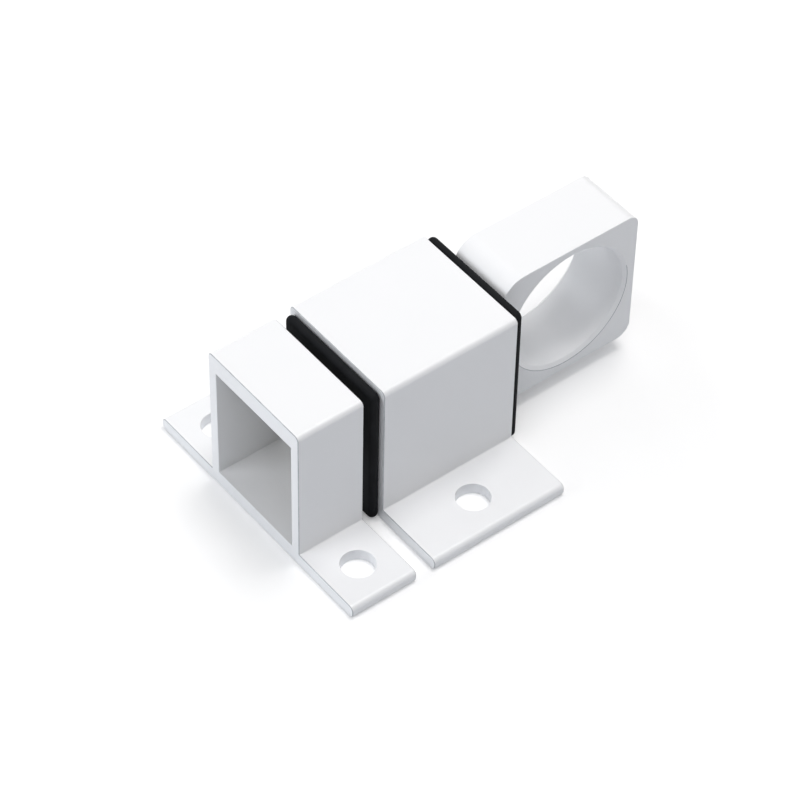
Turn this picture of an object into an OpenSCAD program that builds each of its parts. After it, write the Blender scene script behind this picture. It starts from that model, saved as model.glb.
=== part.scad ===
// Self-closing latch. A sprung bolt slides in a flanged tube, a finger ring draws it back, and a
// shorter tube of the same form, fixed opposite, is its keeper.
// The origin is the middle of the housing's footprint on the mounting plane. +X points from the
// keeper to the finger ring, along the bolt's travel, and +Z points away from the mounting plane.

/* [Tubes] */
// Height of both tubes above the mounting plane
tube_h = 25.2; // [24:0.1:32]
// Width of the housing's tube
housing_w = 21; // [19:0.1:28]
// Length of the housing's tube
housing_l = 22.9; // [21.5:0.1:36]
// Width of the keeper's tube
keeper_w = 20.1; // [18:0.1:27]
// Length of the keeper's tube
keeper_l = 10.9; // [9.5:0.1:18]
// Gap between the keeper and the front pad
keeper_gap = 1.6; // [1:0.1:4]
// Thickness of the side walls
wall_t = 1.6; // [1.2:0.1:2]
// Thickness of the floor
floor_t = 2.5; // [2.2:0.1:3]
// Thickness of the roof
roof_t = 3.1; // [2:0.1:3.6]
// Radius along the two upper edges
edge_r = 0.8; // [0.3:0.1:1.4]

/* [Flanges] */
// Width over both flanges
flange_span = 44.1; // [40:0.1:54]
// Thickness of the flanges
flange_t = 2; // [1.6:0.1:2.4]
// Radius along the flanges' outer edges
flange_edge_r = 0.8; // [0.3:0.05:0.8]
// Radius of the fillet between flange and wall
root_r = 0.2; // [0.2:0.1:1.2]
// Diameter of the fixing holes
fixing_hole_d = 5; // [3.5:0.1:5.6]
// Distance between the two fixing holes of a tube
fixing_pitch = 32.2; // [31:0.1:35]

/* [Rubber pads] */
// Thickness of a pad, whose rim is a full round
pad_t = 1.5; // [0.9:0.1:1.8]
// How far a pad's sides lie in from the housing's
pad_inset = 0.6; // [0.1:0.1:1]
// How much lower a pad is than the housing
pad_short = 0.7; // [0.7:0.1:2]
// Height of the front pad's lower edge above the mounting plane
front_pad_lift = 0.1; // [0.1:0.1:0.7]
// Height of the rear pad's lower edge, which sits nearer the housing's top
rear_pad_lift = 0.6; // [0.1:0.1:0.7]
// Radius of a pad's corners
pad_corner_r = 1; // [1:0.1:3]

/* [Guides] */
// Length of the front guide
front_guide_l = 6; // [4:0.1:8]
// Length of the rear guide
rear_guide_l = 4.4; // [4.2:0.1:6]
// Clearance round a guide inside its tube
guide_fit = 0.05; // [0.02:0.01:0.15]
// Clearance round the bolt and the rod where they slide
slide_fit = 0.1; // [0.05:0.01:0.2]

/* [Bolt] */
// Width of the bolt
bolt_w = 12.6; // [11:0.1:14]
// Height of the bolt above the rod's axis
bolt_rise = 6; // [5.2:0.1:6.6]
// Depth of the bolt below the rod's axis
bolt_drop = 6.8; // [6:0.1:7]
// Gap between the bolt's top and the tube's roof
roof_gap = 1.4; // [1:0.1:1.8]
// How far the bolt stands out of the front pad
bolt_throw = 9.7; // [7:0.1:11]
// How far the bolt's tip draws in behind the pad's face
tip_sink = 0.3; // [0.1:0.1:0.5]
// Height of the upright face at the bolt's tip
nose_land = 2.5; // [1.5:0.1:3.5]
// Angle of the ramp under the nose
ramp_angle = 45; // [42:1:55]
// Length of solid nose ahead of the spring pocket
nose_l = 11.65; // [11:0.05:13]
// Gap left behind the bolt when it is drawn right back
end_gap = 0.3; // [0.2:0.1:1]

/* [Rod and spring] */
// Diameter of the draw rod
rod_d = 5; // [4.4:0.1:5.6]
// Length of the rod's threaded end in the bolt
thread_l = 4.4; // [3:0.1:4.8]
// How far the rod's threaded end and its flats are cut in from its surface
rod_shoulder = 0.5; // [0.4:0.05:0.7]
// Diameter of the cross pin that locks the rod
pin_d = 1.5; // [1:0.1:2]
// Diameter of the spring wire
wire_d = 0.6; // [0.4:0.05:0.7]
// Turns of the spring, both closed end turns included
spring_turns = 9; // [6:1:10]
// Clearance between rod and spring, and between spring and pocket
spring_gap = 0.3; // [0.2:0.05:0.5]
// Thickness of the spring's seat washer
seat_t = 0.5; // [0.4:0.1:0.8]
// Clearance between a thread and its hole
thread_fit = 0.03; // [0.02:0.01:0.08]

/* [Finger ring] */
// Diameter of the finger hole
ring_bore_d = 20.2; // [18:0.1:24]
// Thickness of the ring block across the hole's axis
ring_t = 10.7; // [8:0.1:14]
// Wall ahead of the finger hole, which takes the ring's screw
ring_front_wall = 2.4; // [2.3:0.1:4]
// Wall behind the finger hole
ring_rear_wall = 1.8; // [1.2:0.1:3]
// Wall above the finger hole
ring_top_wall = 1.55; // [1:0.05:3]
// Wall below the finger hole
ring_bottom_wall = 1.9; // [1:0.1:2.6]
// Radius of the two corners next to the housing
ring_front_r = 3.8; // [2:0.1:5]
// Radius of the upper outer corner
ring_top_r = 1.9; // [1:0.1:4]
// Radius of the lower outer corner
ring_bottom_r = 2.3; // [1:0.1:4]
// Chamfer at both mouths of the finger hole
ring_chamfer = 0.5; // [0.1:0.05:0.6]
// Depth of the slot that keeps the ring upright on the rod
tang_l = 0.6; // [0.4:0.05:0.7]

/* [Small screws] */
// How deep the head of a countersunk screw lies below its surface
head_sink = 0.1; // [0.05:0.05:0.3]
// Diameter of the ring's screw
ring_screw_d = 3; // [2.5:0.1:3.1]
// Diameter of its head
ring_screw_head_d = 5.6; // [5:0.1:5.8]
// Length of the ring's screw
ring_screw_l = 8; // [6:0.5:10]
// Diameter of the guides' screws
guide_screw_d = 2.2; // [1.8:0.1:2.5]
// Diameter of their heads
guide_screw_head_d = 4; // [3.6:0.1:4.2]
// Plastic left between the tips of these screws and the bolt's passage
guide_screw_cover = 1.9; // [1.5:0.1:3]
// Distance from the tube's side wall to the middle of a guide's screw
guide_screw_inset = 4.4; // [3.5:0.1:5.4]

/* [Hidden] */
$fn = 64;

// A cut runs this far past the face that it opens
cut_past = 1;

// Stations along X
front_x = -housing_l / 2;
rear_x = housing_l / 2;
pad_face_x = front_x - pad_t;
ring_x = rear_x + pad_t;
keeper_x = pad_face_x - keeper_gap - keeper_l / 2;
tip_x = pad_face_x - bolt_throw;
stroke = bolt_throw + tip_sink;
seat_x = rear_x - rear_guide_l - seat_t;
bolt_rear_x = seat_x - stroke - end_gap;
pocket_x = tip_x + nose_l;
pin_x = pocket_x - thread_l / 2;
bore_x = ring_x + ring_front_wall + ring_bore_d / 2;
front_screw_x = front_x + front_guide_l / 2;
rear_screw_x = rear_x - rear_guide_l / 2;

// Heights
bolt_top = tube_h - roof_t - roof_gap;
axis_z = bolt_top - bolt_rise;
bolt_bottom = axis_z - bolt_drop;
ring_base = axis_z - ring_bore_d / 2 - ring_bottom_wall;
ring_top = axis_z + ring_bore_d / 2 + ring_top_wall;

// Sizes that follow from the rod and the screws
thread_d = rod_d - 2 * rod_shoulder;
tang_w = rod_d - 2 * rod_shoulder;
spring_d = rod_d + 2 * spring_gap + wire_d;
spring_od = spring_d + wire_d;
pocket_d = spring_od + 2 * spring_gap;
guide_screw_l = bolt_bottom - slide_fit - guide_screw_cover - head_sink;
guide_screw_y = housing_w / 2 - wall_t - guide_screw_inset;
pin_l = bolt_w - 4 * slide_fit;

// Lays a section drawn across Y and Z along the X axis, from x0 over a length
module along_x(x0, length) {
    translate([x0, 0, 0])
        rotate([90, 0, 90])
            linear_extrude(length)
                children();
}

// Draws a side view, in X and Z, out to a width about the middle plane
module across_y(width) {
    translate([0, width / 2, 0])
        rotate([90, 0, 0])
            linear_extrude(width)
                children();
}

// A round bar on the rod's axis
module axis_bar(x0, x1, diameter) {
    translate([x0, 0, axis_z])
        rotate([0, 90, 0])
            cylinder(h = x1 - x0, d = diameter);
}

// Flanged square tube, seen along X
module tube_section(width) {
    inner_w = width - 2 * wall_t;
    difference() {
        union() {
            translate([-width / 2, 0])
                square([width, tube_h - edge_r]);
            translate([-width / 2 + edge_r, 0])
                square([width - 2 * edge_r, tube_h]);
            for (side = [-1, 1]) {
                translate([side * (width / 2 - edge_r), tube_h - edge_r])
                    circle(edge_r);
            }
            flange_section();
            for (side = [0, 1]) {
                mirror([side, 0])
                    translate([width / 2, flange_t])
                        root_fillet();
            }
        }
        translate([-inner_w / 2, floor_t])
            square([inner_w, tube_h - floor_t - roof_t]);
    }
}

// One flat bar over both flanges, rounded along its outer edges
module flange_section() {
    flat_w = flange_span - 2 * flange_edge_r;
    translate([-flat_w / 2, 0])
        square([flat_w, flange_t]);
    translate([-flange_span / 2, flange_edge_r])
        square([flange_span, flange_t - 2 * flange_edge_r]);
    for (side = [-1, 1], z = [flange_edge_r, flange_t - flange_edge_r]) {
        translate([side * flat_w / 2, z])
            circle(flange_edge_r);
    }
}

// Fillet that fills the inner corner between a flange and its wall
module root_fillet() {
    difference() {
        square(root_r);
        translate([root_r, root_r])
            circle(root_r);
    }
}

// A length of flanged tube about x, with a fixing hole in the middle of each flange
module flanged_tube(x, width, length) {
    difference() {
        along_x(x - length / 2, length)
            tube_section(width);
        for (side = [-1, 1]) {
            translate([x, side * fixing_pitch / 2, -cut_past])
                cylinder(h = flange_t + 2 * cut_past, d = fixing_hole_d);
        }
    }
}

// Countersunk screw with its head down at z = 0 and its tip up. The head is a 90 degree cone with a
// hexagon socket, sized from the screw's own diameter.
module countersunk_screw(diameter, head_d, length) {
    cone_h = (head_d - diameter) / 2;
    socket_d = diameter * 0.75;
    difference() {
        union() {
            cylinder(h = cone_h, d1 = head_d, d2 = diameter);
            cylinder(h = length, d = diameter);
        }
        translate([0, 0, -cut_past])
            cylinder(h = cut_past + cone_h, d = socket_d, $fn = 6);
    }
}

// Hole for a countersunk screw, with the seat for its head, opened below z = 0
module countersunk_hole(diameter, head_d, length) {
    cone_h = (head_d - diameter) / 2;
    translate([0, 0, -cut_past])
        cylinder(h = cut_past + head_sink, d = head_d + 2 * thread_fit);
    translate([0, 0, head_sink])
        cylinder(h = cone_h, d1 = head_d + 2 * thread_fit, d2 = diameter + 2 * thread_fit);
    cylinder(h = length, d = diameter + 2 * thread_fit);
}

// Hole that a guide's screw fills, through the housing's floor and into the guide
module guide_screw_hole() {
    countersunk_hole(guide_screw_d, guide_screw_head_d, head_sink + guide_screw_l + thread_fit);
}

// Puts its children at one screw of a guide, or at both
module at_guide_screws(x, sides) {
    for (side = sides) {
        translate([x, side * guide_screw_y, 0])
            children();
    }
}

module keeper() {
    color("white")
        flanged_tube(keeper_x, keeper_w, keeper_l);
}

module housing() {
    color("white")
        difference() {
            flanged_tube(0, housing_w, housing_l);
            for (x = [front_screw_x, rear_screw_x]) {
                at_guide_screws(x, [-1, 1])
                    guide_screw_hole();
            }
        }
}

// Disc with a fully rounded rim, its axis along X
module rounded_disc(radius, thickness) {
    rim = thickness / 2;
    rotate([0, 90, 0])
        rotate_extrude() {
            translate([0, -rim])
                square([radius - rim, thickness]);
            intersection() {
                translate([radius - rim, 0])
                    circle(rim);
                translate([0, -rim])
                    square([radius, thickness]);
            }
        }
}

// Bar section with both ends fully rounded, the bar's thickness along the first axis
module rounded_bar_section(thickness, width) {
    flat_w = width - thickness;
    translate([-thickness / 2, -flat_w / 2])
        square([thickness, flat_w]);
    for (side = [-1, 1]) {
        translate([0, side * flat_w / 2])
            circle(thickness / 2);
    }
}

// Rubber pad that covers one end of the housing, its whole rim rounded
module pad_blank(x0, lift) {
    pad_w = housing_w - 2 * pad_inset;
    pad_h = tube_h - pad_short;
    inner_w = pad_w - 2 * pad_corner_r;
    inner_h = pad_h - 2 * pad_corner_r;
    translate([x0 + pad_t / 2, 0, lift + pad_h / 2]) {
        translate([0, 0, -inner_h / 2])
            linear_extrude(inner_h)
                rounded_bar_section(pad_t, pad_w);
        translate([0, inner_w / 2, 0])
            rotate([90, 0, 0])
                linear_extrude(inner_w)
                    rounded_bar_section(pad_t, pad_h);
        for (y = [-1, 1], z = [-1, 1]) {
            translate([0, y * inner_w / 2, z * inner_h / 2])
                rounded_disc(pad_corner_r, pad_t);
        }
    }
}

// Passage for the bolt, with room round it
module bolt_passage(x0, length) {
    along_x(x0, length)
        translate([-bolt_w / 2 - slide_fit, bolt_bottom - slide_fit])
            square([bolt_w + 2 * slide_fit, bolt_top - bolt_bottom + 2 * slide_fit]);
}

module front_pad() {
    color("#1b1c1e")
        difference() {
            pad_blank(pad_face_x, front_pad_lift);
            bolt_passage(pad_face_x - cut_past, pad_t + 2 * cut_past);
        }
}

module rear_pad() {
    color("#1b1c1e")
        difference() {
            pad_blank(rear_x, rear_pad_lift);
            axis_bar(rear_x - cut_past, ring_x + cut_past, rod_d + 2 * slide_fit);
        }
}

// Block that fills the housing's hollow from x0 over a length
module guide_block(x0, length) {
    guide_w = housing_w - 2 * wall_t - 2 * guide_fit;
    guide_h = tube_h - roof_t - floor_t - 2 * guide_fit;
    along_x(x0, length)
        translate([-guide_w / 2, floor_t + guide_fit])
            square([guide_w, guide_h]);
}

module front_guide() {
    color("#2c2d30")
        difference() {
            guide_block(front_x, front_guide_l);
            bolt_passage(front_x - cut_past, front_guide_l + 2 * cut_past);
            at_guide_screws(front_screw_x, [-1, 1])
                guide_screw_hole();
        }
}

module rear_guide() {
    color("#2c2d30")
        difference() {
            guide_block(rear_x - rear_guide_l, rear_guide_l);
            axis_bar(seat_x, ring_x, rod_d + 2 * slide_fit);
            at_guide_screws(rear_screw_x, [-1, 1])
                guide_screw_hole();
        }
}

// One of the four screws that hold the guides through the housing's floor
module guide_screw(x, side) {
    color("silver")
        at_guide_screws(x, [side])
            translate([0, 0, head_sink])
                countersunk_screw(guide_screw_d, guide_screw_head_d, guide_screw_l);
}

// Sprung bolt: the ramp under its nose rides up on the keeper as the door shuts
module bolt() {
    ramp_base = bolt_top - nose_land;
    ramp_l = (ramp_base - bolt_bottom) / tan(ramp_angle);
    color("#b9bcc0")
        difference() {
            across_y(bolt_w)
                polygon([
                    [tip_x, bolt_top],
                    [tip_x, ramp_base],
                    [tip_x + ramp_l, bolt_bottom],
                    [bolt_rear_x, bolt_bottom],
                    [bolt_rear_x, bolt_top]
                ]);
            axis_bar(pocket_x, bolt_rear_x + cut_past, pocket_d);
            axis_bar(pocket_x - thread_l, pocket_x + cut_past, thread_d + 2 * thread_fit);
            across_pin(bolt_w + 2 * cut_past, pin_d + 2 * thread_fit);
        }
}

// Round bar across the bolt where the rod is pinned
module across_pin(length, diameter) {
    translate([pin_x, length / 2, axis_z])
        rotate([90, 0, 0])
            cylinder(h = length, d = diameter);
}

// Screw of the finger ring, its head towards the finger hole
module at_ring_screw() {
    translate([ring_x + ring_front_wall, 0, axis_z])
        rotate([0, -90, 0])
            children();
}

// Hole that the ring's screw fills, through the ring's wall and into the rod
module ring_screw_hole() {
    countersunk_hole(ring_screw_d, ring_screw_head_d, head_sink + ring_screw_l + thread_fit);
}

module draw_rod() {
    color("#c9cbce")
        difference() {
            union() {
                axis_bar(pocket_x - thread_l + thread_fit, pocket_x, thread_d);
                axis_bar(pocket_x, ring_x, rod_d);
                intersection() {
                    axis_bar(ring_x, ring_x + tang_l, rod_d);
                    translate([ring_x, -tang_w / 2, axis_z - rod_d / 2])
                        cube([tang_l, tang_w, rod_d]);
                }
            }
            across_pin(bolt_w, pin_d + 2 * thread_fit);
            at_ring_screw()
                ring_screw_hole();
        }
}

module lock_pin() {
    color("silver")
        across_pin(pin_l, pin_d);
}

// Place of the spring's wire along X after a number of turns; the end turns lie closed
function spring_advance(turn, free_pitch) =
    turn < 1 ? turn * wire_d :
    turn > spring_turns - 1
        ? wire_d + (spring_turns - 2) * free_pitch + (turn - spring_turns + 1) * wire_d
        : wire_d + (turn - 1) * free_pitch;

// Compression spring round the rod, from the bottom of its pocket to the seat washer
module return_spring() {
    steps = 20;
    sides = 8;
    rings = spring_turns * steps;
    end_x = pocket_x + wire_d / 2;
    reach = seat_x - pocket_x - wire_d;
    free_pitch = (reach - 2 * wire_d) / (spring_turns - 2);
    points = [
        for (i = [0 : rings], k = [0 : sides - 1])
            let (
                turn = i / steps,
                radius = spring_d / 2 + wire_d / 2 * cos(360 * k / sides),
                lift = wire_d / 2 * sin(360 * k / sides)
            )
            [
                end_x + spring_advance(turn, free_pitch) + lift,
                radius * cos(360 * turn),
                axis_z + radius * sin(360 * turn)
            ]
    ];
    wraps = [
        for (i = [0 : rings - 1], k = [0 : sides - 1])
            let (next = (k + 1) % sides)
            [i * sides + k, i * sides + next, (i + 1) * sides + next, (i + 1) * sides + k]
    ];
    first = [for (k = [sides - 1 : -1 : 0]) k];
    last = [for (k = [0 : sides - 1]) rings * sides + k];
    color("#a8abaf")
        polyhedron(points = points, faces = concat(wraps, [first, last]), convexity = 10);
}

module spring_seat() {
    color("silver")
        difference() {
            axis_bar(seat_x, seat_x + seat_t, spring_od);
            axis_bar(seat_x - cut_past, seat_x + seat_t + cut_past, rod_d + 2 * slide_fit);
        }
}

// Side view of the ring block, with its own radius at each corner
module ring_outline() {
    x1 = bore_x + ring_bore_d / 2 + ring_rear_wall;
    polygon([
        [ring_x + ring_front_r, ring_base],
        [x1 - ring_bottom_r, ring_base],
        [x1, ring_base + ring_bottom_r],
        [x1, ring_top - ring_top_r],
        [x1 - ring_top_r, ring_top],
        [ring_x + ring_front_r, ring_top],
        [ring_x, ring_top - ring_front_r],
        [ring_x, ring_base + ring_front_r]
    ]);
    for (z = [ring_base + ring_front_r, ring_top - ring_front_r]) {
        translate([ring_x + ring_front_r, z])
            circle(ring_front_r);
    }
    translate([x1 - ring_bottom_r, ring_base + ring_bottom_r])
        circle(ring_bottom_r);
    translate([x1 - ring_top_r, ring_top - ring_top_r])
        circle(ring_top_r);
}

// Finger hole through the block, chamfered at both mouths
module finger_hole() {
    translate([bore_x, ring_t / 2, axis_z])
        rotate([90, 0, 0]) {
            translate([0, 0, -cut_past])
                cylinder(h = ring_t + 2 * cut_past, d = ring_bore_d);
            for (end = [0, 1]) {
                translate([0, 0, end * ring_t])
                    mirror([0, 0, end])
                        cylinder(h = ring_chamfer, r1 = ring_bore_d / 2 + ring_chamfer, r2 = ring_bore_d / 2);
            }
        }
}

module finger_ring() {
    slot_w = tang_w + 2 * thread_fit;
    color("white")
        difference() {
            across_y(ring_t)
                ring_outline();
            finger_hole();
            intersection() {
                axis_bar(ring_x - cut_past, ring_x + tang_l + thread_fit, rod_d + 2 * thread_fit);
                translate([ring_x - cut_past, -slot_w / 2, axis_z - rod_d])
                    cube([cut_past + tang_l + thread_fit, slot_w, 2 * rod_d]);
            }
            at_ring_screw()
                ring_screw_hole();
        }
}

module ring_screw() {
    color("silver")
        at_ring_screw()
            translate([0, 0, head_sink])
                countersunk_screw(ring_screw_d, ring_screw_head_d, ring_screw_l);
}

keeper();
housing();
front_pad();
rear_pad();
front_guide();
rear_guide();
guide_screw(front_screw_x, 1);  // front_guide_screw_left
guide_screw(front_screw_x, -1);  // front_guide_screw_right
guide_screw(rear_screw_x, 1);  // rear_guide_screw_left
guide_screw(rear_screw_x, -1);  // rear_guide_screw_right
bolt();
draw_rod();
lock_pin();
return_spring();
spring_seat();
finger_ring();
ring_screw();
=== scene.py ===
import math

import bmesh
import bpy
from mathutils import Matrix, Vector


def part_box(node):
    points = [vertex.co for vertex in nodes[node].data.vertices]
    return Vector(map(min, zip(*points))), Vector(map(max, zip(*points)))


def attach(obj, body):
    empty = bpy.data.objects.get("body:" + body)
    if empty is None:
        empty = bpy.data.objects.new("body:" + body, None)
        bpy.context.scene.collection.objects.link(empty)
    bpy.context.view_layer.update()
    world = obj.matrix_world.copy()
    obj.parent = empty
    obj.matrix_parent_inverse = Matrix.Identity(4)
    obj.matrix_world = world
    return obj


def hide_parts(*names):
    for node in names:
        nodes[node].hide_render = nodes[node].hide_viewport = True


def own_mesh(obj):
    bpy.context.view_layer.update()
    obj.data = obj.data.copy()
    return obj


# Self-closing latch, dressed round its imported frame. Metres; +X runs from the keeper to the ring.
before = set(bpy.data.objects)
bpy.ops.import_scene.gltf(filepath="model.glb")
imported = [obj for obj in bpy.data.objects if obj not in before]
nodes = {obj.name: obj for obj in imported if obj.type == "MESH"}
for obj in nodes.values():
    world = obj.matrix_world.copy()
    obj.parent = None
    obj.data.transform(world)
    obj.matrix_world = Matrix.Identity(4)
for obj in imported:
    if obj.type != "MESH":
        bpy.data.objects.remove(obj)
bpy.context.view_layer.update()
mm = 0.001
touching = 0.01 * mm  # an edge this close to a face lies on it
margin = 0.02 * mm  # the same where a bevel or a slope is near
merging = 0.0005 * mm  # points this close are one point
print("frame loaded with", len(nodes), "nodes")


# Colour and nodes

def linear(hexColour):
    parts = [int(hexColour[i:i + 2], 16) / 255 for i in (1, 3, 5)]
    return tuple(c / 12.92 if c <= 0.04045 else ((c + 0.055) / 1.055) ** 2.4
                 for c in parts) + (1.0,)


def addNode(tree, kind, inputs=None, **settings):
    node = tree.nodes.new(kind)
    for key, value in settings.items():
        setattr(node, key, value)
    for key, value in (inputs or {}).items():
        if isinstance(value, bpy.types.NodeSocket):
            tree.links.new(value, node.inputs[key])
        else:
            node.inputs[key].default_value = value
    return node


def perMetre(millimetres):
    return 1000 / millimetres  # texture scale for a pattern of that size on Object coordinates


def newMaterial(name):
    material = bpy.data.materials.new(name)
    material.use_nodes = True
    tree = material.node_tree
    tree.nodes.clear()
    surface = addNode(tree, "ShaderNodeBsdfPrincipled")
    addNode(tree, "ShaderNodeOutputMaterial", {"Surface": surface.outputs["BSDF"]})
    place = addNode(tree, "ShaderNodeTexCoord").outputs["Object"]
    return material, tree, surface, place


def noise(tree, place, sizeMm, detail=2.0, roughness=0.5):
    return addNode(tree, "ShaderNodeTexNoise", {
        "Vector": place, "Scale": perMetre(sizeMm), "Detail": detail, "Roughness": roughness})


def between(tree, factor, low, high, fromLow=0.3, fromHigh=0.7):
    return addNode(tree, "ShaderNodeMapRange", {
        "Value": factor, "From Min": fromLow, "From Max": fromHigh,
        "To Min": low, "To Max": high}).outputs["Result"]


def twoColours(tree, factor, first, second):
    # Sockets 6 and 7 of this node are its two colours.
    return addNode(tree, "ShaderNodeMix", {
        "Factor": factor, 6: linear(first), 7: linear(second)}, data_type="RGBA").outputs[2]


def stretched(tree, place, scale):
    return addNode(tree, "ShaderNodeMapping", {"Vector": place, "Scale": scale}).outputs["Vector"]


# Finishes

coat = {
    "colour": "#F7F7F8", "shade": "#F3F4F5",
    "roughness": (0.30, 0.38), "ior": 1.5,
    "peelSize": 1.1, "peelHeight": 0.004,  # mm
    "grainSize": 0.18, "grainHeight": 0.0006,  # mm
    "cloudSize": 14.0,  # mm
    "sawSpacing": 0.35, "sawHeight": 0.003,  # mm
    "sawStretch": (1.0, 1.0, 0.04),  # the saw's lines run up the sawn end
    # Painted shade line: darker greys laid on the arrises and on the lower finger-hole mouth
    "shadeLineColours": ("#A7A9AD", "#C4C6C9"), "shadeLineRoughness": 0.42, "shadeLinePatchSize": 2.5,  # mm
}


def powderCoat(name, sawn=False):
    # White polyester powder coat, sprayed and baked: semi-gloss, with faint waves of orange peel.
    # On a sawn end the saw's lines still show faintly through it.
    material, tree, surface, place = newMaterial(name)
    peel = noise(tree, place, coat["peelSize"])
    grain = noise(tree, place, coat["grainSize"], detail=1.0)
    cloud = noise(tree, place, coat["cloudSize"])
    surface.inputs["IOR"].default_value = coat["ior"]
    tree.links.new(twoColours(tree, cloud.outputs["Fac"], coat["colour"], coat["shade"]),
                   surface.inputs["Base Color"])
    tree.links.new(between(tree, peel.outputs["Fac"], *coat["roughness"]),
                   surface.inputs["Roughness"])
    bump = addNode(tree, "ShaderNodeBump", {
        "Height": peel.outputs["Fac"], "Strength": 1.0, "Distance": coat["peelHeight"] * mm})
    fine = addNode(tree, "ShaderNodeBump", {
        "Height": grain.outputs["Fac"], "Strength": 1.0, "Distance": coat["grainHeight"] * mm,
        "Normal": bump.outputs["Normal"]})
    last = fine
    if sawn:
        lines = noise(tree, stretched(tree, place, coat["sawStretch"]), coat["sawSpacing"])
        last = addNode(tree, "ShaderNodeBump", {
            "Height": lines.outputs["Fac"], "Strength": 1.0, "Distance": coat["sawHeight"] * mm,
            "Normal": fine.outputs["Normal"]})
    tree.links.new(last.outputs["Normal"], surface.inputs["Normal"])
    return material


def paintedArrisShade():
    # Grey painted shade line on the sawn arrises and on the lower half of the finger-hole mouth. It
    # is a darker edge line that the bevels' own shading does not give, varied in patches.
    material, tree, surface, place = newMaterial("painted_shade_line_on_arris")
    patch = noise(tree, place, coat["shadeLinePatchSize"])
    tree.links.new(twoColours(tree, between(tree, patch.outputs["Fac"], 0.0, 1.0),
                              *coat["shadeLineColours"]), surface.inputs["Base Color"])
    surface.inputs["Roughness"].default_value = coat["shadeLineRoughness"]
    return material


pads = {
    "colours": ("#18191B", "#202123"), "roughness": (0.60, 0.72), "specularLevel": 0.05,
    "pitSize": 0.25, "pitDepth": 0.012, "bloomSize": 3.0,  # mm
}


def mouldedRubber():
    # Black EPDM, compression moulded: dead matt, finely pitted, a trace of grey bloom.
    material, tree, surface, place = newMaterial("moulded_epdm_rubber")
    pits = noise(tree, place, pads["pitSize"], detail=3.0, roughness=0.6)
    bloom = noise(tree, place, pads["bloomSize"], detail=3.0)
    tree.links.new(twoColours(tree, between(tree, bloom.outputs["Fac"], 0.0, 1.0),
                              *pads["colours"]), surface.inputs["Base Color"])
    tree.links.new(between(tree, bloom.outputs["Fac"], *pads["roughness"]),
                   surface.inputs["Roughness"])
    surface.inputs["Specular IOR Level"].default_value = pads["specularLevel"]
    bump = addNode(tree, "ShaderNodeBump", {
        "Height": pits.outputs["Fac"], "Strength": 1.0, "Distance": pads["pitDepth"] * mm})
    tree.links.new(bump.outputs["Normal"], surface.inputs["Normal"])
    return material


guides = {
    "colours": ("#2B2C2F", "#34363A"), "roughness": (0.36, 0.48), "ior": 1.48,
    "grainSize": 0.15, "grainHeight": 0.004, "cloudSize": 5.0,  # mm
}


def mouldedAcetal():
    # Dark grey acetal, injection moulded: slightly waxy, with a fine spark-eroded grain.
    material, tree, surface, place = newMaterial("moulded_acetal")
    grain = noise(tree, place, guides["grainSize"], detail=3.0)
    cloud = noise(tree, place, guides["cloudSize"])
    tree.links.new(twoColours(tree, cloud.outputs["Fac"], *guides["colours"]),
                   surface.inputs["Base Color"])
    tree.links.new(between(tree, grain.outputs["Fac"], *guides["roughness"]),
                   surface.inputs["Roughness"])
    surface.inputs["IOR"].default_value = guides["ior"]
    bump = addNode(tree, "ShaderNodeBump", {
        "Height": grain.outputs["Fac"], "Strength": 1.0, "Distance": guides["grainHeight"] * mm})
    tree.links.new(bump.outputs["Normal"], surface.inputs["Normal"])
    return material


def workedMetal(name, colours, roughness, stretch, lineSize, lineHeight, cloudSize=4.0):
    # Metal with fine lines along the way it was worked: the pattern is drawn out along one axis.
    material, tree, surface, place = newMaterial(name)
    lines = noise(tree, stretched(tree, place, stretch), lineSize, detail=3.0, roughness=0.65)
    cloud = noise(tree, place, cloudSize)
    surface.inputs["Metallic"].default_value = 1.0
    tree.links.new(twoColours(tree, between(tree, cloud.outputs["Fac"], 0.0, 1.0), *colours),
                   surface.inputs["Base Color"])
    tree.links.new(between(tree, lines.outputs["Fac"], *roughness), surface.inputs["Roughness"])
    bump = addNode(tree, "ShaderNodeBump", {
        "Height": lines.outputs["Fac"], "Strength": 1.0, "Distance": lineHeight * mm})
    tree.links.new(bump.outputs["Normal"], surface.inputs["Normal"])
    return material


whiteCoat = powderCoat("powder_coat_white")
sawnCoat = powderCoat("powder_coat_white_over_sawn_end", sawn=True)
arrisShadeLine = paintedArrisShade()
rubber = mouldedRubber()
acetal = mouldedAcetal()
# Nickel-plated steel, linished lengthwise before plating: satin, with long fine lines.
nickelSteel = workedMetal("nickel_plated_steel_linished", ("#C6C4BE", "#B9B7B2"),
                          roughness=(0.20, 0.34), stretch=(0.03, 1.0, 1.0),
                          lineSize=0.12, lineHeight=0.0015)
# The same steel where the nose and the ramp were ground across.
groundSteel = workedMetal("nickel_plated_steel_ground", ("#C6C4BE", "#B9B7B2"),
                          roughness=(0.22, 0.32), stretch=(1.0, 0.03, 1.0),
                          lineSize=0.14, lineHeight=0.001)
# Bright drawn steel bar, zinc plated: smooth, with faint drawing lines along the bar.
drawnSteel = workedMetal("drawn_steel_zinc_plated", ("#C9CBCE", "#BFC2C7"), roughness=(0.18, 0.30),
                         stretch=(0.04, 1.0, 1.0), lineSize=0.15, lineHeight=0.001)
# Zinc-plated screws, cold headed: silvery with a cloudy, slightly blue passivate.
zincSteel = workedMetal("zinc_plated_steel", ("#C2C5CA", "#B3B8C0"), roughness=(0.26, 0.40),
                        stretch=(1.0, 1.0, 1.0), lineSize=0.25, lineHeight=0.001)
# Patented spring wire, coiled cold: darker grey, with die lines round the wire.
springSteel = workedMetal("spring_steel_wire", ("#9FA2A6", "#8B8E92"), roughness=(0.24, 0.36),
                          stretch=(1.0, 1.0, 1.0), lineSize=0.10, lineHeight=0.0008)
print("finishes made")


# Working on copies of CAD nodes

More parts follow.
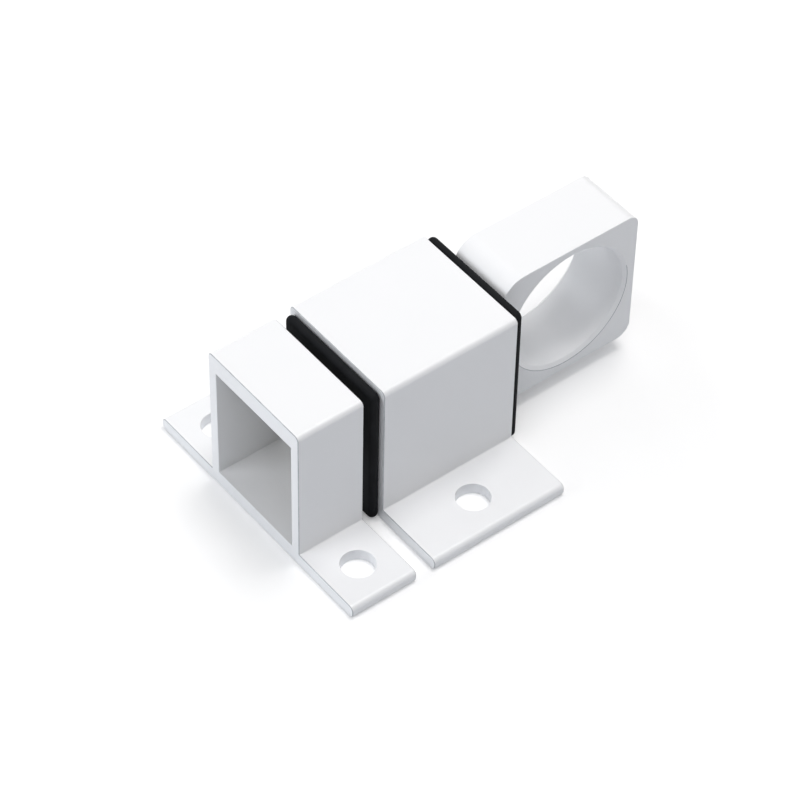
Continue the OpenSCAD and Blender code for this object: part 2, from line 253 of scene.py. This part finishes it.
def tidyShape(nodeName, flatDegrees=0.3):
    # A copy of a node's loose triangles, merged, with its flat faces made whole.
    shape = bmesh.new()
    shape.from_mesh(nodes[nodeName].data)
    bmesh.ops.remove_doubles(shape, verts=shape.verts, dist=merging)
    bmesh.ops.dissolve_limit(shape, angle_limit=math.radians(flatDegrees), verts=shape.verts,
                             edges=shape.edges, delimit={"NORMAL"})
    shape.normal_update()
    return shape


def sharpEdges(shape, degrees=28):
    return [e for e in shape.edges if len(e.link_faces) == 2 and e.is_convex
            and e.calc_face_angle(0) > math.radians(degrees)]


def soften(shape, edges, width, segments=2, materialIndex=-1):
    if not edges:
        return
    bmesh.ops.bevel(shape, geom=edges, offset=width, offset_type="OFFSET", segments=segments,
                    profile=0.5, affect="EDGES", clamp_overlap=False, loop_slide=True,
                    material=materialIndex)


def settle(piece, smoothDegrees=32):
    # Smooth shading with flat faces kept flat, and modifiers turned into plain mesh.
    for polygon in piece.data.polygons:
        polygon.use_smooth = True
    piece.data.set_sharp_from_angle(angle=math.radians(smoothDegrees))
    weighted = piece.modifiers.new("weighted", "WEIGHTED_NORMAL")
    weighted.keep_sharp = True
    graph = bpy.context.evaluated_depsgraph_get()
    mesh = bpy.data.meshes.new_from_object(piece.evaluated_get(graph), depsgraph=graph,
                                           preserve_all_data_layers=True)
    piece.modifiers.clear()
    piece.data = mesh
    mesh.name = piece.name
    return piece


def makePiece(name, shape, materials):
    mesh = bpy.data.meshes.new(name)
    shape.to_mesh(mesh)
    shape.free()
    for material in materials:
        mesh.materials.append(material)
    piece = bpy.data.objects.new(name, mesh)
    bpy.context.scene.collection.objects.link(piece)
    return settle(piece)


def standIn(piece, body, slotName, *replaced):
    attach(piece, body)
    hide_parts(*replaced)


def giveFinish(nodeName, material):
    mesh = nodes[nodeName].data
    if mesh.materials:
        for place in nodes[nodeName].material_slots:
            place.material = material
    else:
        mesh.materials.append(material)


# Tubes: keeper and housing

tube = {
    "wall": 1.6 * mm, "floor": 2.5 * mm, "roof": 3.1 * mm, "height": 25.2 * mm,
    "keeperWidth": 20.1 * mm, "housingWidth": 21.0 * mm,
    "arris": 0.11 * mm,  # bevel on the outer sawn edges
    "innerEdge": 0.10 * mm,  # bevel round the hollow and the holes
    "endFacing": 0.99,  # a face that looks this straight along X is a sawn end
}


def dressTube(nodeName, pieceName, width):
    shape = tidyShape(nodeName)
    low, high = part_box(nodeName)
    halfHollow = width / 2 - tube["wall"] + margin
    lowest = tube["floor"] - margin
    highest = tube["height"] - tube["roof"] + margin
    outer, inner = [], []
    for edge in sharpEdges(shape):
        middle = (edge.verts[0].co + edge.verts[1].co) / 2
        atEnd = min(abs(middle.x - low.x), abs(middle.x - high.x)) < touching
        inHollow = abs(middle.y) < halfHollow and lowest < middle.z < highest
        (outer if atEnd and not inHollow else inner).append(edge)
    # The outer arris bevels on the sawn ends take the grey painted shade line (slot 2).
    soften(shape, outer, tube["arris"], segments=1, materialIndex=2)
    soften(shape, [e for e in inner if e.is_valid], tube["innerEdge"])
    for face in shape.faces:
        if face.material_index != 2 and abs(face.normal.x) > tube["endFacing"]:
            face.material_index = 1
    piece = makePiece(pieceName, shape, [whiteCoat, sawnCoat, arrisShadeLine])
    standIn(piece, "frame", "white_coat", nodeName)


dressTube("keeper", "keeper_tube", tube["keeperWidth"])
dressTube("housing", "housing_tube", tube["housingWidth"])
print("tubes dressed")


# Finger ring

ring = {
    "arris": 0.14 * mm,  # rounding of the block's long outline
    "mouth": 0.06 * mm,  # bevel round the finger hole, with a painted shade line on its lower half
    "shadeLineBelow": 17.5 * mm,  # height above the mounting plane below which the mouth bevel gets the painted shade line
    "outlineBeyond": 11.3 * mm,  # from the block's middle, past the finger hole
}


def dressRing():
    shape = tidyShape("finger_ring")
    low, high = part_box("finger_ring")
    centre = (low + high) / 2
    outline, shadedMouth, others = [], [], []
    for edge in sharpEdges(shape):
        middle = (edge.verts[0].co + edge.verts[1].co) / 2
        atSide = min(abs(middle.y - low.y), abs(middle.y - high.y)) < touching
        reach = math.hypot(middle.x - centre.x, middle.z - centre.z)
        if atSide and reach > ring["outlineBeyond"]:
            outline.append(edge)
        elif atSide:
            (shadedMouth if middle.z < ring["shadeLineBelow"] else others).append(edge)
    soften(shape, outline, ring["arris"])
    # Lower half of the mouth: grey painted shade line; the upper half stays white.
    soften(shape, [e for e in shadedMouth if e.is_valid], ring["mouth"], segments=1, materialIndex=1)
    soften(shape, [e for e in others if e.is_valid], ring["mouth"], segments=1)
    piece = makePiece("ring_block", shape, [whiteCoat, arrisShadeLine])
    standIn(piece, "bolt_slide", "white_coat", "finger_ring")


dressRing()
print("ring dressed")


# Pads, guides and the other nodes that keep their shape

for name, material in (("front_pad", rubber), ("rear_pad", rubber), ("front_guide", acetal),
                       ("rear_guide", acetal), ("draw_rod", drawnSteel), ("lock_pin", drawnSteel),
                       ("spring_seat", zincSteel)):
    giveFinish(name, material)
print("kept nodes finished")


# Bolt

bolt = {
    "edge": 0.3 * mm,  # rounding of the long outer edges
    "shortest": 1.5 * mm,  # edges shorter than this belong to the holes
    "forward": 0.5,  # a face that looks forward more than this is a ground one
}


def dressBolt():
    shape = tidyShape("bolt")
    low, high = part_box("bolt")

    def onOutline(place):
        return any(abs(place[axis] - side[axis]) < margin
                   for axis in range(3) for side in (low, high))

    outer = [e for e in sharpEdges(shape) if e.calc_length() > bolt["shortest"]
             and all(onOutline(v.co) for v in e.verts)]
    soften(shape, outer, bolt["edge"], segments=3)
    for face in shape.faces:
        if face.normal.x < -bolt["forward"]:
            face.material_index = 1
    piece = makePiece("bolt_body", shape, [nickelSteel, groundSteel])
    standIn(piece, "bolt_slide", "bolt_steel", "bolt")


dressBolt()
print("bolt dressed")


# Geometry Nodes for what repeats or follows a path

def newTree(name, inputs):
    tree = bpy.data.node_groups.new(name, "GeometryNodeTree")
    tree.interface.new_socket("Geometry", in_out="INPUT", socket_type="NodeSocketGeometry")
    tree.interface.new_socket("Geometry", in_out="OUTPUT", socket_type="NodeSocketGeometry")
    for label, kind in inputs.items():
        tree.interface.new_socket(label, in_out="INPUT", socket_type="NodeSocket" + kind)
    return tree


def maths(tree, operation, *values):
    return addNode(tree, "ShaderNodeMath", dict(enumerate(values)), operation=operation).outputs[0]


def grow(pieceName, base, tree, values):
    # Runs a tree on a base mesh and keeps the result as plain mesh.
    piece = bpy.data.objects.new(pieceName, base)
    bpy.context.scene.collection.objects.link(piece)
    modifier = piece.modifiers.new("grow", "NODES")
    modifier.node_group = tree
    sockets = {s.name: s.identifier for s in tree.interface.items_tree if s.in_out == "INPUT"}
    for label, value in values.items():
        modifier[sockets[label]] = value
    graph = bpy.context.evaluated_depsgraph_get()
    mesh = bpy.data.meshes.new_from_object(piece.evaluated_get(graph), depsgraph=graph)
    piece.modifiers.clear()
    piece.data = mesh
    return settle(piece)


def pointsMesh(name, places):
    mesh = bpy.data.meshes.new(name)
    mesh.from_pydata(places, [], [])
    return mesh


spring = {
    "wire": 0.6 * mm, "meanRadius": 3.1 * mm, "turns": 9.0, "axisHeight": 14.7 * mm,
    "pocketX": -11.0 * mm, "seatX": 6.55 * mm, "stroke": 10.0 * mm,
    "stepsPerTurn": 48, "wireSides": 12,
}


def coilTree():
    tree = newTree("coil_spring", {"Wire": "Float", "Mean Radius": "Float", "Turns": "Float",
                                   "Start": "Float", "Reach": "Float", "Axis Height": "Float",
                                   "Material": "Material"})
    given = addNode(tree, "NodeGroupInput").outputs
    line = addNode(tree, "GeometryNodeCurvePrimitiveLine").outputs["Curve"]
    steps = round(spring["turns"]) * spring["stepsPerTurn"]
    points = addNode(tree, "GeometryNodeResampleCurve", {"Curve": line, "Count": steps + 1})
    share = addNode(tree, "GeometryNodeSplineParameter").outputs["Factor"]
    turn = maths(tree, "MULTIPLY", share, given["Turns"])
    # The first and last turns lie closed, one wire apart; the others share what is left.
    closed = maths(tree, "MINIMUM", turn, 1.0)
    lastStart = maths(tree, "SUBTRACT", given["Turns"], 1.0)
    lastTurn = maths(tree, "MAXIMUM", maths(tree, "SUBTRACT", turn, lastStart), 0.0)
    openTurns = maths(tree, "SUBTRACT", given["Turns"], 2.0)
    openTurn = maths(tree, "MINIMUM",
                     maths(tree, "MAXIMUM", maths(tree, "SUBTRACT", turn, 1.0), 0.0), openTurns)
    doubleWire = maths(tree, "MULTIPLY", given["Wire"], 2.0)
    pitch = maths(tree, "DIVIDE", maths(tree, "SUBTRACT", given["Reach"], doubleWire), openTurns)
    advance = maths(tree, "ADD",
                    maths(tree, "MULTIPLY", maths(tree, "ADD", closed, lastTurn), given["Wire"]),
                    maths(tree, "MULTIPLY", openTurn, pitch))
    angle = maths(tree, "MULTIPLY", turn, 2 * math.pi)
    place = addNode(tree, "ShaderNodeCombineXYZ", {
        "X": maths(tree, "ADD", given["Start"], advance),
        "Y": maths(tree, "MULTIPLY", maths(tree, "COSINE", angle), given["Mean Radius"]),
        "Z": maths(tree, "ADD", maths(tree, "MULTIPLY", maths(tree, "SINE", angle),
                                      given["Mean Radius"]), given["Axis Height"])})
    path = addNode(tree, "GeometryNodeSetPosition", {
        "Geometry": points.outputs["Curve"], "Position": place.outputs["Vector"]})
    section = addNode(tree, "GeometryNodeCurvePrimitiveCircle", {
        "Resolution": spring["wireSides"],
        "Radius": maths(tree, "MULTIPLY", given["Wire"], 0.5)}, mode="RADIUS")
    wire = addNode(tree, "GeometryNodeCurveToMesh", {
        "Curve": path.outputs["Geometry"], "Profile Curve": section.outputs["Curve"],
        "Fill Caps": True})
    whole = addNode(tree, "GeometryNodeRealizeInstances", {"Geometry": wire.outputs["Mesh"]})
    painted = addNode(tree, "GeometryNodeSetMaterial", {
        "Geometry": whole.outputs["Geometry"], "Material": given["Material"]})
    addNode(tree, "NodeGroupOutput", {"Geometry": painted.outputs["Geometry"]})
    return tree


coil = grow("coil_spring", pointsMesh("coil_spring", [(0, 0, 0)]), coilTree(), {
    "Wire": spring["wire"], "Mean Radius": spring["meanRadius"], "Turns": spring["turns"],
    "Start": spring["pocketX"] + spring["wire"] / 2,
    "Reach": spring["seatX"] - spring["pocketX"] - spring["wire"],
    "Axis Height": spring["axisHeight"], "Material": springSteel})
standIn(coil, "frame", "spring_steel", "return_spring")
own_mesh(coil)
print("spring coiled:", len(coil.data.polygons), "faces")


screwColumns = 37  # points round a screw, the last on the first


def screwTree():
    # Countersunk screw with its head at the point, growing along +Z, then turned to its axis.
    tree = newTree("countersunk_screw", {"Diameter": "Float", "Head": "Float", "Length": "Float",
                                         "Pitch": "Float", "Depth": "Float", "Rows": "Int",
                                         "Socket": "Float", "Turn": "Rotation",
                                         "Material": "Material"})
    given = addNode(tree, "NodeGroupInput").outputs
    sheet = addNode(tree, "GeometryNodeMeshGrid", {
        "Size X": 1.0, "Size Y": 1.0, "Vertices X": screwColumns, "Vertices Y": given["Rows"]})
    flat = addNode(tree, "ShaderNodeSeparateXYZ", {
        "Vector": addNode(tree, "GeometryNodeInputPosition").outputs["Position"]})
    around = maths(tree, "ADD", flat.outputs["X"], 0.5)
    lastRow = maths(tree, "SUBTRACT", given["Rows"], 1.0)
    row = maths(tree, "ROUND", maths(tree, "MULTIPLY",
                                     maths(tree, "ADD", flat.outputs["Y"], 0.5), lastRow))
    share = maths(tree, "DIVIDE", maths(tree, "SUBTRACT", row, 1.0),
                  maths(tree, "SUBTRACT", lastRow, 2.0))
    along = maths(tree, "MULTIPLY", maths(tree, "MINIMUM", maths(tree, "MAXIMUM", share, 0.0), 1.0),
                  given["Length"])
    wave = maths(tree, "FRACT", maths(tree, "SUBTRACT",
                                      maths(tree, "DIVIDE", along, given["Pitch"]), around))
    ridge = maths(tree, "ABSOLUTE", maths(tree, "SUBTRACT",
                                          maths(tree, "MULTIPLY", wave, 2.0), 1.0))
    radius = maths(tree, "MULTIPLY", given["Diameter"], 0.5)
    thread = maths(tree, "SUBTRACT", radius, maths(tree, "MULTIPLY", ridge, given["Depth"]))
    head = maths(tree, "SUBTRACT", maths(tree, "MULTIPLY", given["Head"], 0.5), along)
    tip = maths(tree, "ADD", maths(tree, "SUBTRACT", given["Length"], along),
                maths(tree, "SUBTRACT", radius, given["Depth"]))
    body = maths(tree, "MINIMUM", maths(tree, "MAXIMUM", thread, head), tip)
    isBody = maths(tree, "GREATER_THAN",
                   maths(tree, "MINIMUM", row, maths(tree, "SUBTRACT", lastRow, row)), 0.5)
    reach = maths(tree, "MULTIPLY", body, isBody)
    angle = maths(tree, "MULTIPLY", around, 2 * math.pi)
    place = addNode(tree, "ShaderNodeCombineXYZ", {
        "X": maths(tree, "MULTIPLY", maths(tree, "COSINE", angle), reach),
        "Y": maths(tree, "MULTIPLY", maths(tree, "SINE", angle), reach), "Z": along})
    rolled = addNode(tree, "GeometryNodeSetPosition", {
        "Geometry": sheet.outputs["Mesh"], "Position": place.outputs["Vector"]})
    joined = addNode(tree, "GeometryNodeMergeByDistance", {
        "Geometry": rolled.outputs["Geometry"], "Distance": merging})
    # Hexagon socket, as deep as the head's cone
    cone = maths(tree, "MULTIPLY", maths(tree, "SUBTRACT", given["Head"], given["Diameter"]), 0.5)
    hexagon = addNode(tree, "GeometryNodeMeshCylinder", {
        "Vertices": 6, "Radius": maths(tree, "MULTIPLY", given["Socket"], 0.5),
        "Depth": maths(tree, "MULTIPLY", cone, 2.0)}, fill_type="NGON")
    cut = addNode(tree, "GeometryNodeMeshBoolean", {
        "Mesh 1": joined.outputs["Geometry"], "Mesh 2": hexagon.outputs["Mesh"]},
        operation="DIFFERENCE", solver="EXACT")
    spread = addNode(tree, "GeometryNodeInstanceOnPoints", {
        "Points": given["Geometry"], "Instance": cut.outputs["Mesh"], "Rotation": given["Turn"]})
    whole = addNode(tree, "GeometryNodeRealizeInstances", {"Geometry": spread.outputs["Instances"]})
    painted = addNode(tree, "GeometryNodeSetMaterial", {
        "Geometry": whole.outputs["Geometry"], "Material": given["Material"]})
    addNode(tree, "NodeGroupOutput", {"Geometry": painted.outputs["Geometry"]})
    return tree


guideScrews = {
    "diameter": 2.2 * mm, "head": 4.0 * mm, "length": 5.8 * mm, "pitch": 0.8 * mm,
    "depth": 0.32 * mm, "rows": 64, "socket": 1.65 * mm,
}
ringScrew = {
    "diameter": 3.0 * mm, "head": 5.6 * mm, "length": 8.0 * mm, "pitch": 0.5 * mm,
    "depth": 0.27 * mm, "rows": 134, "socket": 2.25 * mm,
}
screws = screwTree()


def drive(pieceName, look, places, turn, body, *replaced):
    piece = grow(pieceName, pointsMesh(pieceName, places), screws, {
        "Diameter": look["diameter"], "Head": look["head"], "Length": look["length"],
        "Pitch": look["pitch"], "Depth": look["depth"], "Rows": look["rows"],
        "Socket": look["socket"], "Turn": turn, "Material": zincSteel})
    standIn(piece, body, "plated_steel", *replaced)


guideNodes = ["front_guide_screw_left", "front_guide_screw_right",
              "rear_guide_screw_left", "rear_guide_screw_right"]
guidePlaces = []
for name in guideNodes:
    low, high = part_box(name)
    guidePlaces.append(((low.x + high.x) / 2, (low.y + high.y) / 2, low.z))
drive("guide_screws", guideScrews, guidePlaces, (0.0, 0.0, 0.0), "frame", *guideNodes)
low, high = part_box("ring_screw")
drive("ring_screw_threaded", ringScrew, [(high.x, (low.y + high.y) / 2, (low.z + high.z) / 2)],
      (0.0, -math.pi / 2, 0.0), "bolt_slide", "ring_screw")
print("screws driven")


# Camera, as the photograph was taken

camera = {"place": (-0.205632, -0.254870, 0.356088), "turn": (43.23598, -0.86557, -37.92723),
          "lens": 154.5725, "sensor": 36.0,  # mm
          "nearest": 0.01, "farthest": 20.0}  # metres
cameraData = bpy.data.cameras.new("camera")
cameraData.lens = camera["lens"]
cameraData.sensor_width = camera["sensor"]
cameraData.clip_start = camera["nearest"]
cameraData.clip_end = camera["farthest"]
cameraObject = bpy.data.objects.new("camera", cameraData)
cameraObject.location = camera["place"]
cameraObject.rotation_euler = [math.radians(a) for a in camera["turn"]]
bpy.context.scene.collection.objects.link(cameraObject)
bpy.context.scene.camera = cameraObject
bpy.context.scene.view_settings.view_transform = "Standard"


# Studio: pale floor, soft lamps overhead, high and ahead, fainter ones behind and beyond the latch

studio = {
    "bounceColour": "#E9ECF1", "seenColour": "#EEEEEE",
    "liftNear": 0.21, "liftFar": 1.0,  # white added for the viewer near the latch and away from it
    "nearEnds": 0.045, "farStarts": 0.13,  # metres
    "floorHalf": 3.0, "floorLevel": -0.00002,  # metres, just under the latch
    "aim": (0.004, 0.0, 0.010),
}
lamps = {
    "overhead": {"place": (0.16, 0.0, 0.72), "size": 0.28, "power": 2.27, "colour": "#FFFDFB"},
    "high": {"place": (-0.10, -0.25, 0.70), "size": 0.7, "power": 2.52, "colour": "#FBFCFF"},
    "ahead": {"place": (-0.66, 0.22, 0.28), "size": 0.5, "power": 2.48, "colour": "#F8FBFF"},
    "behind": {"place": (0.35, 0.40, 0.55), "size": 0.5, "power": 0.77, "colour": "#FFFFFF"},
    "beyond": {"place": (0.05, 0.65, 0.30), "size": 0.5, "power": 0.50, "colour": "#FFFFFF"},
}


def whiteToViewer(tree):
    # 1 for what the camera sees straight or in gloss or glass, 0 for light on the object.
    path = addNode(tree, "ShaderNodeLightPath").outputs
    seen = maths(tree, "MAXIMUM", path["Is Camera Ray"], path["Is Glossy Ray"])
    return maths(tree, "MAXIMUM", seen, path["Is Transmission Ray"])


def makeFloor():
    half, level = studio["floorHalf"], studio["floorLevel"]
    mesh = bpy.data.meshes.new("floor")
    mesh.from_pydata([(-half, -half, level), (half, -half, level), (half, half, level),
                      (-half, half, level)], [], [(0, 1, 2, 3)])
    material = bpy.data.materials.new("studio_floor")
    material.use_nodes = True
    tree = material.node_tree
    tree.nodes.clear()
    seen = whiteToViewer(tree)
    matt = addNode(tree, "ShaderNodeBsdfDiffuse", {
        "Color": twoColours(tree, seen, studio["bounceColour"], studio["seenColour"])})
    place = addNode(tree, "ShaderNodeTexCoord").outputs["Object"]
    away = addNode(tree, "ShaderNodeVectorMath", {0: place}, operation="LENGTH").outputs["Value"]
    white = between(tree, away, studio["liftNear"], studio["liftFar"],
                    studio["nearEnds"], studio["farStarts"])
    lift = addNode(tree, "ShaderNodeEmission", {
        "Color": (1, 1, 1, 1), "Strength": maths(tree, "MULTIPLY", seen, white)})
    both = addNode(tree, "ShaderNodeAddShader", {0: matt.outputs[0], 1: lift.outputs[0]})
    addNode(tree, "ShaderNodeOutputMaterial", {"Surface": both.outputs[0]})
    mesh.materials.append(material)
    floor = bpy.data.objects.new("floor", mesh)
    bpy.context.scene.collection.objects.link(floor)


def makeWorld():
    world = bpy.data.worlds.new("studio")
    bpy.context.scene.world = world
    world.use_nodes = True
    tree = world.node_tree
    tree.nodes.clear()
    white = addNode(tree, "ShaderNodeBackground", {
        "Color": (1, 1, 1, 1), "Strength": whiteToViewer(tree)})
    addNode(tree, "ShaderNodeOutputWorld", {"Surface": white.outputs[0]})


def makeLamp(name, look):
    data = bpy.data.lights.new(name, "AREA")
    data.shape = "SQUARE"
    data.size = look["size"]
    data.energy = look["power"]
    data.color = linear(look["colour"])[:3]
    lamp = bpy.data.objects.new(name, data)
    lamp.location = look["place"]
    aim = Vector(studio["aim"]) - Vector(look["place"])
    lamp.rotation_mode = "QUATERNION"
    lamp.rotation_quaternion = aim.to_track_quat("-Z", "Y")
    bpy.context.scene.collection.objects.link(lamp)


makeFloor()
makeWorld()
for name, look in lamps.items():
    makeLamp(name, look)
print("studio lit")
